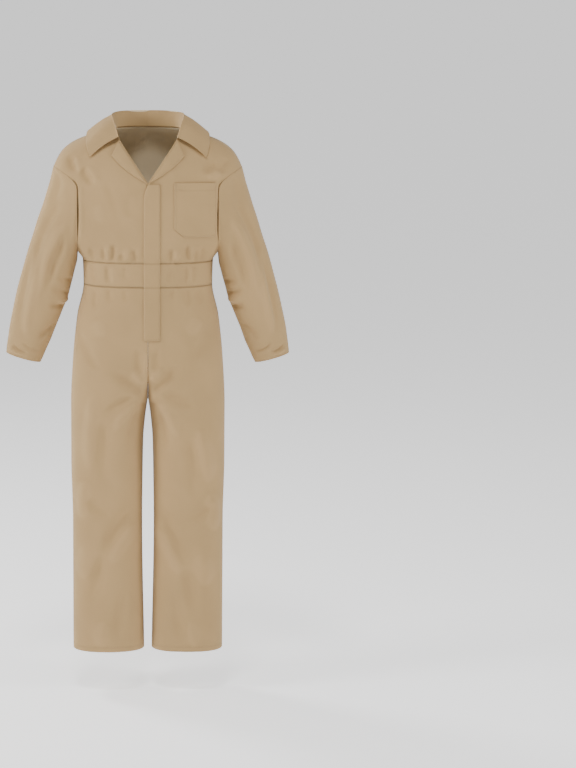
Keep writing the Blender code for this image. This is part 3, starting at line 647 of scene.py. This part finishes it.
def make_back():
    v = np.linspace(0.0, 1.0, 97)[:, None]
    u = np.sin(0.5 * math.pi * np.linspace(0.0, 1.0, 79) ** 0.92)[None, :]
    low_v = np.minimum(v, LAST_ROW)
    x1, z1 = outer_edge(low_v)
    z0 = WAIST_TOP + 0.5 * SEAM_GAP + (NECK_SIDE_Z - 0.006 - WAIST_TOP) * low_v
    x = x1 * u
    z = z0 + (z1 - z0) * u ** (1.0 + 1.2 * low_v)
    top_x = np.broadcast_to(SHOULDER_TIP[0] * u, x.shape)
    share = np.clip((v - LAST_ROW) / (1.0 - LAST_ROW), 0.0, 1.0)
    top_z = np.where(top_x < NECK_HALF_WIDTH, NECK_SIDE_Z * (top_x / NECK_HALF_WIDTH) ** 4,
                     read(SHOULDER, "x", top_x, "z"))
    x, z = x + (top_x - x) * share, z + (top_z - z) * share
    x = np.concatenate([-x[:, :0:-1], x], axis=1)
    z = np.concatenate([z[:, :0:-1], z], axis=1)
    return trunk_piece("back", x, z, 1)


def band_grid(face, start, end, columns):
    z = np.linspace(WAIST_LOW + 0.5 * SEAM_GAP, WAIST_TOP - 0.5 * SEAM_GAP, 19)[:, None]
    turn = np.linspace(start, end, columns)[None, :]
    x = read(TRUNK, "z", z, "half_width") * np.sin(0.5 * math.pi * turn)
    return x, np.broadcast_to(z, x.shape)


def make_leg(side, face, name):
    """Rows follow the height, evenly spaced; columns lie closer together at the inseam and the side."""
    z = np.linspace(HEM, WAIST_LOW - 0.5 * SEAM_GAP, 236)[:, None]
    inner = np.where(z < CROTCH, read(INSEAM, "z", z, "x"), 0.5 * SEAM_GAP)
    width = read(TRUNK, "z", z, "half_width")
    share = 0.5 * (1.0 - np.cos(math.pi * np.linspace(0.0, 1.0, 66)))[None, :]
    x = side * (inner + (width - inner) * share)
    return trunk_piece(name, x, np.broadcast_to(z, x.shape), face)


def sleeve_surface(length, turn):
    """The sleeve's smooth points; length and turn as in the sleeve creases."""
    table = np.array([[r.outer_x, r.outer_z, r.inner_x, r.inner_z, r.depth] for r in SLEEVE])
    row = along(table, length)
    angle = 2.0 * math.pi * turn

    def round_point(values):
        half_x, half_z = 0.5 * (values[..., 0] - values[..., 2]), 0.5 * (values[..., 1] - values[..., 3])
        return np.stack([
            0.5 * (values[..., 0] + values[..., 2]) + np.cos(angle) * half_x,
            -values[..., 4] * np.sign(np.sin(angle)) * np.abs(np.sin(angle)) ** 0.9,
            0.5 * (values[..., 1] + values[..., 3]) + np.cos(angle) * half_z], axis=-1)

    middle = 0.5 * (SHOULDER_TIP[1] + ARMPIT[1])
    seam_z = middle + (SHOULDER_TIP[1] - middle) * np.cos(angle)
    seam_x = armhole_x(seam_z)
    depth = np.where(turn <= 0.5, -trunk_depth(seam_x, seam_z, -1), trunk_depth(seam_x, seam_z, 1))
    depth = np.where(np.abs(np.sin(angle)) < 1e-6, 0.0, depth)
    seam = np.stack([seam_x, depth, seam_z], axis=-1)
    first = np.broadcast_to(table[0], row.shape)
    fade = np.maximum(0.0, 1.0 - length / 0.45) ** 2
    return round_point(row) + fade[..., None] * (seam - round_point(first))


def sleeve_relief(length, turn, side):
    around, long = SLEEVE_ROUND, SLEEVE_LONG
    total = np.zeros(length.shape)
    shift = 0.0 if side > 0 else 0.018
    creases = [Crease(c.depth * (1.0 if side > 0 else 0.85 + 0.25 * math.sin(4.0 * k)), c.width,
                      tuple((a * long, (b + shift * math.sin(2.0 * k)) * around) for a, b in c.points))
               for k, c in enumerate(SLEEVE_CREASES)]
    for wrap in (-1.0, 0.0, 1.0):
        total += stroke_relief(np.stack([length * long, (turn + wrap) * around], axis=-1), creases)
    total += 0.8 * undulation(length * 0.5, np.cos(2 * math.pi * turn) * 0.1, 1.0 + side)
    total += pucker(length * long, turn * around, 1.0)
    total *= smooth(length / 0.03)
    cuff = (1.0 - length) * long
    total = total * (0.25 + 0.75 * smooth(cuff / 0.030))
    total += pucker(np.abs(cuff - 0.014), turn * around, 2.0, 0.0004, 0.006)
    total += seam_dip(np.abs(cuff - HEM_STITCH), 0.0008, 0.002)
    return total


def sleeve_points(length, turn, side, lift=0.0):
    step = 0.004
    base = sleeve_surface(length, turn)
    ahead, behind = np.minimum(length + step, 1.0), np.maximum(length - step, 0.0)
    along_it = sleeve_surface(ahead, turn) - sleeve_surface(behind, turn)
    around_it = sleeve_surface(length, turn + step) - sleeve_surface(length, turn - step)
    normal = np.cross(along_it, around_it)
    normal /= np.maximum(np.linalg.norm(normal, axis=-1, keepdims=True), 1e-9)
    middle = sleeve_surface(length, np.mod(turn + 0.5, 1.0))
    normal *= np.sign(((base - middle) * normal).sum(-1, keepdims=True))
    points = base + normal * (sleeve_relief(length, turn, side) + lift)[..., None]
    points[..., 0] += 0.0008 * smooth(1.0 - length / 0.02)
    points[..., 0] *= side
    return points


def make_sleeve(side, name):
    length = np.linspace(0.0, 1.0, 141)[:, None] * np.ones((1, 112))
    turn = np.ones((141, 1)) * np.linspace(0.0, 1.0, 113)[None, :-1]
    points = sleeve_points(length, turn, side)
    relief = sleeve_relief(length, turn, side)
    axis = points.mean(axis=1)

    def out(centres):
        nearest = np.argmin(np.abs(centres[:, None, 2] - axis[None, :, 2])
                            + np.abs(centres[:, None, 0] - axis[None, :, 0]), axis=1)
        return centres - axis[nearest]

    # Painted shade along the hem stitching and the armhole seam; the ridges get a painted highlight.
    seam_shade = 0.5 * band((1.0 - length) * SLEEVE_LONG, HEM_STITCH, 0.0016) \
        + 0.5 * band(length * SLEEVE_LONG, 0.0, 0.002)
    return grid_object(name, points, closed=True, out=out, painted_light=ridge_highlight_tone(relief), seam=seam_shade)


def collar_sections(step):
    table = np.array([list(s) for s in COLLAR])
    row = along(table, step)
    neck, fold, edge = row[..., 0:3], row[..., 3:6], row[..., 6:9]
    up = np.array([0.0, 0.0, 1.0])
    neck = neck + 0.0011 * up

    def unit(v):
        return v / np.maximum(np.linalg.norm(v, axis=-1, keepdims=True), 1e-9)

    turn = np.minimum(0.005, 0.4 * np.linalg.norm(fold - neck, axis=-1, keepdims=True))
    inner = fold + unit(neck - fold) * turn
    outer = fold + unit(edge - fold) * 0.006
    fall = edge - outer
    bow = up * 0.05 * np.linalg.norm(fall, axis=-1, keepdims=True)
    return np.stack([neck, neck + 0.55 * (inner - neck), inner, fold + 0.0015 * up, outer,
                     outer + 0.35 * fall + bow, outer + 0.7 * fall + 0.8 * bow, edge], axis=0)


def make_collar():
    """Rows go round the neck, columns up the stand, over the fold and down the fall."""
    step = np.linspace(0.0, 1.0, 91)
    half = collar_sections(step)                     # (8, 91, 3)
    across = np.linspace(0.0, 1.0, 46)
    half = along(half, across).transpose(1, 0, 2)    # (91, 46, 3)
    mirror = half[:0:-1] * np.array([-1.0, 1.0, 1.0])
    points = np.concatenate([mirror, half], axis=0)
    run = np.concatenate([-step[:0:-1], step])[:, None] * 0.25
    fall = np.clip((across - 0.52) / 0.48, 0.0, 1.0)[None, :]
    across_u = np.gradient(points, axis=1)
    across_v = np.gradient(points, axis=0)
    normal = np.cross(across_u, across_v)
    normal /= np.maximum(np.linalg.norm(normal, axis=-1, keepdims=True), 1e-9)
    sense = np.sign(normal[45:137, 30, 2].mean())
    normal *= sense
    edge_away = (1.0 - across)[None, :] * 0.20
    relief = pucker(edge_away, run, 0.3, 0.0004, 0.010) * smooth(fall / 0.3)
    relief = relief + 0.0007 * np.sin(run * 34 + 1.3) * smooth(fall / 0.5) \
        + 0.0005 * np.sin(run * 71 + fall * 3)
    points = points + normal * (relief + 0.0006 * smooth(fall / 0.2))[..., None]
    # Painted shade along the neck seam; painted highlight along the outer edge and over the fold.
    seam_shade = 0.5 * band(across[None, :], 0.0, 0.02) + 0.0 * run
    edge = 0.55 * band(across[None, :], 1.0, 0.012) + 0.25 * band(across[None, :], 0.44, 0.05) + 0.0 * run
    piece = grid_object("collar", points, out=lambda centres: normal[:-1, :-1].reshape(-1, 3),
                        painted_light=edge, seam=seam_shade)
    return piece, points, normal


def lapel_points(side, v, u, lift=0.0):
    roll_top, roll_foot = np.array([0.0800, -0.0290]), np.array([0.0040, V_BOTTOM + 0.001])
    tip, low = np.array([0.100, -0.067]), np.array([0.0080, V_BOTTOM + 0.002])
    inner = roll_top + (roll_foot - roll_top) * v[..., None]
    outer = tip + (low - tip) * (v ** 1.08)[..., None]
    bulge = np.array([0.004, -0.004]) * np.sin(math.pi * v)[..., None]
    place = inner + (outer + bulge - inner) * u[..., None]
    raised = APPLIED_LIFT + 0.0032 * np.sin(math.pi * u) + 0.0005 * np.sin(v * 19) * u + lift
    x, z = place[..., 0] + 0.001, place[..., 1]
    return relieved(side * x, z, -1, raised)


def make_lapel(side, name):
    v = np.linspace(0.0, 1.0, 46)[:, None] * np.ones((1, 17))
    u = np.ones((46, 1)) * np.linspace(0.0, 1.0, 17)[None, :]
    # Painted highlight along the lapel's outer edge.
    return grid_object(name, lapel_points(side, v, u), out=outward(-1), painted_light=0.5 * band(u, 1.0, 0.06))


def pocket_place(outline, u, v):
    turn = math.radians(80.0)
    inner = outline.inner_low + (outline.inner_top - outline.inner_low) * v
    outer = outline.outer_low + (outline.outer_top - outline.outer_low) * v
    x = inner + (outer - inner) * np.sin(turn * u) / math.sin(turn)
    low = outline.bottom + outline.clip_height * np.maximum(0.0, 1.0 - (x - inner) / outline.clip_width)
    return x, low + (outline.top - low) * v


def make_pocket(name, outline, face, side):
    v = np.linspace(0.0, 1.0, 44)[:, None] * np.ones((1, 34))
    u = np.ones((44, 1)) * np.linspace(0.0, 1.0, 34)[None, :]
    x, z = pocket_place(outline, u, v)
    edge = np.minimum(np.minimum(u, 1 - u) * 0.115, v * 0.15)
    lift = APPLIED_LIFT - 0.0004 + 0.0008 * smooth(edge / 0.004) + pucker(edge, x + z, 1.0, 0.00035, 0.005)
    lift = lift + 0.0016 * smooth(v) * np.sin(math.pi * u) ** 2
    points = relieved(side * x, z, face, lift)
    # Painted shade along the stitch lines and the hem stitching; painted highlight along the edges and the
    # top.
    seam_shade = 0.5 * band(edge, 0.002, 0.0014) + 0.6 * band(z, outline.top - POCKET_HEM, 0.0012)
    edge_highlight = 0.6 * band(edge, 0.0, 0.0015) + 0.6 * band(v, 1.0, 0.012)
    return grid_object(name, points, out=outward(face), painted_light=edge_highlight, seam=seam_shade)


def fly_left_edge(z):
    return 0.002 - (FLY_LAP + 0.002) * np.sin(0.5 * math.pi * np.clip((V_BOTTOM - z) / 0.050, 0, 1))


def make_fly():
    z = np.linspace(FLY_END, V_BOTTOM - 0.004, 104)[:, None]
    u = np.linspace(0.0, 1.0, 15)[None, :]
    x = fly_left_edge(z) + (FLY_STITCH - fly_left_edge(z)) * u
    z = np.broadcast_to(z, x.shape)
    lift = APPLIED_LIFT + 0.0006 * np.sin(math.pi * u) + 0.0005 * np.sin(z * 75 + 1.0) * (1 - u)
    points = relieved(x, z, -1, lift)
    # Painted shade along the stitch lines and the waist seams; painted highlight along the free edge.
    seam_shade = 0.55 * band(x, FLY_STITCH - 0.002, 0.0013) + 0.6 * band(z, WAIST_TOP, 0.0014) \
        + 0.6 * band(z, WAIST_LOW, 0.0014) + 0.5 * band(z, FLY_END + 0.003, 0.0014)
    edge_highlight = np.broadcast_to(0.9 * band(u, 0.0, 0.07), z.shape)
    return grid_object("fly_placket", points, out=outward(-1), painted_light=edge_highlight, seam=seam_shade)


# -------- stitches
def stitch_row(path, normals, pitch=0.0030, long=0.0021, wide=0.00042):
    """Corners and faces of small rounded stitches laid along a path."""
    steps = np.linalg.norm(np.diff(path, axis=0), axis=1)
    run = np.concatenate([[0.0], np.cumsum(steps)])
    places = np.arange(0.5 * pitch, run[-1], pitch)
    centre = np.stack([np.interp(places, run, path[:, k]) for k in range(3)], axis=1)
    ahead = np.stack([np.interp(places + 0.3 * pitch, run, path[:, k]) for k in range(3)], axis=1)
    behind = np.stack([np.interp(places - 0.3 * pitch, run, path[:, k]) for k in range(3)], axis=1)
    way = ahead - behind
    way /= np.maximum(np.linalg.norm(way, axis=1, keepdims=True), 1e-9)
    up = np.stack([np.interp(places, run, normals[:, k]) for k in range(3)], axis=1)
    up /= np.maximum(np.linalg.norm(up, axis=1, keepdims=True), 1e-9)
    across = np.cross(up, way)
    verts, faces = [], []
    ring = ((1, 0), (0.45, 0.85), (-0.45, 0.85), (-1, 0))
    for c, w, a, n in zip(centre, way, across, up):
        start = len(verts)
        for at, size in ((-0.5, 0.55), (0.0, 1.0), (0.5, 0.55)):
            for s, h in ring:
                verts.append(c + w * at * long + a * s * wide * size + n * (h * wide * size - 0.0001))
        for low in (start, start + 4):
            for k in range(4):
                m = (k + 1) % 4
                faces.append((low + k, low + m, low + 4 + m, low + 4 + k))
        faces.append((start + 3, start + 2, start + 1, start))
        faces.append((start + 8, start + 9, start + 10, start + 11))
    return verts, faces


def sewn(name, paths):
    """All the stitches on one piece as a mesh; each path is (points, normals)."""
    verts, faces = [], []
    for path, normals in paths:
        v, f = stitch_row(path, normals)
        faces += [tuple(i + len(verts) for i in quad) for quad in f]
        verts += v
    mesh = bpy.data.meshes.new(name)
    mesh.from_pydata([tuple(v) for v in verts], [], faces)
    mesh.update()
    mesh.shade_smooth()
    piece = bpy.data.objects.new(name, mesh)
    bpy.context.scene.collection.objects.link(piece)
    piece.data.materials.append(thread)
    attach(piece, "root")
    return piece


def on_trunk(points, face, lift):
    """A path laid on the trunk, from a few corners (x, z)."""
    corners = np.array(points, float)
    lengths = np.linalg.norm(np.diff(corners, axis=0), axis=1)
    run = np.concatenate([[0.0], np.cumsum(lengths)])
    steps = np.linspace(0.0, run[-1], max(3, int(run[-1] / 0.004)))
    x, z = np.interp(steps, run, corners[:, 0]), np.interp(steps, run, corners[:, 1])
    return relieved(x, z, face, lift), trunk_normal(x, z, face)


def width_at(z):
    return float(read(TRUNK, "z", z, "half_width"))


def level_row(z, face, lift, start, end, count=60):
    turns = np.linspace(start, end, count)
    return on_trunk([(width_at(z) * math.sin(0.5 * math.pi * t), z) for t in turns], face, lift)


# -------- the suit
def finish_piece(piece, node):
    """Hangs the piece under the root empty and hides its CAD part."""
    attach(piece, "root")
    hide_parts(node)


for side, word in ((1, "left"), (-1, "right")):
    finish_piece(make_front(side, "front_" + word), "front_" + word)
finish_piece(make_back(), "back")
for side, word in ((1, "left"), (-1, "right")):
    x, z = band_grid(-1, 0.0, 1.0, 58)
    x = np.maximum(x, 0.5 * SEAM_GAP)
    piece = trunk_piece("waistband_front_" + word, side * x, z, -1)
    finish_piece(piece, "waistband_front_" + word)
x, z = band_grid(1, -1.0, 1.0, 141)
finish_piece(trunk_piece("waistband_back", x, z, 1), "waistband_back")
for side, word in ((1, "left"), (-1, "right")):
    for face, where in ((-1, "front"), (1, "back")):
        name = f"leg_{where}_{word}"
        finish_piece(make_leg(side, face, name), name)
    name = "sleeve_" + word
    finish_piece(make_sleeve(side, name), name)
    name = "lapel_" + word
    finish_piece(make_lapel(side, name), name)
collar, collar_grid, collar_normal = make_collar()
finish_piece(collar, "collar")
finish_piece(make_fly(), "fly_placket")
finish_piece(make_pocket("chest_pocket", CHEST_POCKET, -1, 1), "chest_pocket")
finish_piece(make_pocket("hip_pocket", HIP_POCKET, 1, -1), "hip_pocket")

ON_CLOTH, ON_PATCH = 0.0002, APPLIED_LIFT + 0.0006
chest, hip = CHEST_POCKET, HIP_POCKET


def pocket_stitches(outline, face, side):
    inset = PATCH_INSET
    corner = (outline.inner_low + outline.clip_width, outline.bottom + inset)
    body = [(outline.inner_top + inset, outline.top - 0.002),
            (outline.inner_low + inset, outline.bottom + outline.clip_height + 0.001), corner,
            (outline.outer_low - inset, outline.bottom + inset),
            (outline.outer_top - inset, outline.top - 0.002)]
    hem = [(x, outline.top - POCKET_HEM) for x in (outline.inner_top + inset, outline.outer_top - inset)]
    return [on_trunk([(side * x, z) for x, z in line], face, ON_PATCH) for line in (body, hem)]


paths = pocket_stitches(chest, -1, 1)
paths += [on_trunk([(chest.inner_top + away, z) for z in (chest.top - 0.002, chest.top - POCKET_HEM)],
                   -1, ON_PATCH) for away in (0.006, 0.024)]
sewn("chest_pocket_stitches", paths)
paths = pocket_stitches(hip, 1, -1)
paths += [on_trunk([(-hip.inner_top - 0.036, hip.top - 0.002), (-hip.inner_top - 0.037, hip.top - 0.100),
                    (-hip.inner_top - 0.036, hip.bottom + 0.004)], 1, ON_PATCH)]
sewn("hip_pocket_stitches", paths)

fly_z = np.linspace(FLY_END + 0.006, V_BOTTOM - 0.012, 80)
fly_low = FLY_END + 0.003
paths = [on_trunk(line, -1, ON_PATCH - 0.0004) for line in (
    [(FLY_STITCH - 0.002, z) for z in fly_z],
    [(float(fly_left_edge(z)) + 0.0025, z) for z in fly_z],
    [(-FLY_LAP + 0.003, fly_low), (FLY_STITCH - 0.002, fly_low)])]
sewn("fly_stitches", paths)

paths = []
for z in (WAIST_TOP - 0.004, WAIST_LOW + 0.004):
    paths.append(level_row(z, 1, ON_CLOTH, -0.98, 0.98))
    for side in (-1, 1):
        start = 0.13 if side > 0 else 0.05
        paths.append(level_row(z, -1, ON_CLOTH, side * start, side * 0.98))
sewn("waistband_stitches", paths)

paths = []
for side in (-1, 1):
    for face in (-1, 1):
        inner, outer = float(read(INSEAM, "z", HEM, "x")) + 0.004, width_at(HEM) - 0.002
        widths = [inner + (outer - inner) * 0.5 * (1 - math.cos(math.pi * t))
                  for t in np.linspace(0.02, 0.98, 60)]
        paths.append(on_trunk([(side * x, HEM + HEM_STITCH) for x in widths], face, ON_CLOTH))
    hip_z = np.linspace(WAIST_LOW - 0.004, -0.62, 30)
    paths.append(on_trunk([(side * (width_at(z) - 0.010), z) for z in hip_z], -1, ON_CLOTH))
paths.append(on_trunk([(0.0030, FLY_END - 0.004), (0.0028, -0.700), (0.0026, CROTCH + 0.010)], -1, ON_CLOTH))
paths.append(on_trunk([(0.0030, WAIST_LOW - 0.004), (0.0028, -0.600), (0.0026, CROTCH + 0.010)], 1, ON_CLOTH))
sewn("leg_stitches", paths)

paths = []
for side in (-1, 1):
    for first, last, place in ((0.0, 0.9999, 1.0 - HEM_STITCH / SLEEVE_LONG), (0.02, 0.98, 0.012)):
        points = sleeve_points(np.full(110, place), np.linspace(first, last, 110), side, ON_CLOTH)
        paths.append((points, points - points.mean(axis=0)))
sewn("sleeve_stitches", paths)

inset = 44
paths = [(collar_grid[2:-2, inset] + collar_normal[2:-2, inset] * ON_CLOTH, collar_normal[2:-2, inset])]
for end in (1, -2):
    paths.append((collar_grid[end, 24:45] + collar_normal[end, 24:45] * ON_CLOTH, collar_normal[end, 24:45]))
for side in (-1, 1):
    v = np.linspace(0.02, 0.96, 40)
    u = np.full(40, 0.90)
    points = lapel_points(side, v, u, ON_CLOTH)
    paths.append((points, trunk_normal(points[:, 0], points[:, 2], -1)))
sewn("collar_and_lapel_stitches", paths)

# -------- snaps
brass = plain_material("snap_metal", (0.72, 0.62, 0.48), 0.34, 1.0)
for node in ("cuff_snap_left", "cuff_snap_right"):
    cap = bpy.data.objects.get(node)
    if cap is not None and cap.type == "MESH":
        cap.data.materials.clear()
        cap.data.materials.append(brass)

# -------- stage, lights, camera
FLOOR_Z = -1.62
ground = plain_material("white_ground", (0.92, 0.92, 0.92), 1.0)
glow = ground.node_tree.nodes["Principled BSDF"]
glow.inputs["Emission Color"].default_value = (1.0, 1.0, 1.0, 1.0)
glow.inputs["Emission Strength"].default_value = 0.8
bpy.ops.mesh.primitive_plane_add(size=400.0, location=(0.0, 0.0, FLOOR_Z))
floor = bpy.context.object
floor.name = "studio_floor"
floor.data.materials.append(ground)


def light(name, place, aim, size, power, colour=(1.0, 1.0, 1.0)):
    lamp = bpy.data.lights.new(name, "AREA")
    lamp.shape = "SQUARE"
    lamp.size, lamp.energy, lamp.color = size, power, colour
    lamp_object = bpy.data.objects.new(name, lamp)
    bpy.context.scene.collection.objects.link(lamp_object)
    lamp_object.location = place
    lamp_object.rotation_euler = (Vector(aim) - Vector(place)).to_track_quat("-Z", "Y").to_euler()
    return lamp_object


key = light("key_above_front", (-0.4, -2.2, 3.6), (0, 0, -0.6), 0.9, 100.0)
fill = light("side_right", (3.3, -1.5, 0.5), (0, 0, -0.7), 1.1, 60.0)
side_fill = light("side_left", (-3.3, -1.3, 0.7), (0, 0, -0.7), 1.1, 88.0)
rear = light("rear_left", (-2.4, 2.2, 1.8), (0, 0, -0.7), 1.0, 95.0)
world = bpy.data.worlds.new("white_studio")
bpy.context.scene.world = world
world.use_nodes = True
world.node_tree.nodes["Background"].inputs[0].default_value = (1.0, 1.0, 1.0, 1.0)
world.node_tree.nodes["Background"].inputs[1].default_value = 0.26

camera_data = bpy.data.cameras.new("photo_camera")
camera_data.lens = 133.4
camera_data.sensor_fit = "VERTICAL"
camera_data.sensor_width = camera_data.sensor_height = 36.0
camera = bpy.data.objects.new("photo_camera", camera_data)
bpy.context.scene.collection.objects.link(camera)
PITCH, TURN, ROLL = math.radians(10.03), math.radians(2.861), math.radians(0.507)
camera.matrix_world = Matrix.Translation((0.0, -8.0, 0.69)) @ Matrix.Rotation(-TURN, 4, "Z") \
    @ Matrix.Rotation(math.pi / 2 - PITCH, 4, "X") @ Matrix.Rotation(ROLL, 4, "Z")
bpy.context.scene.camera = camera
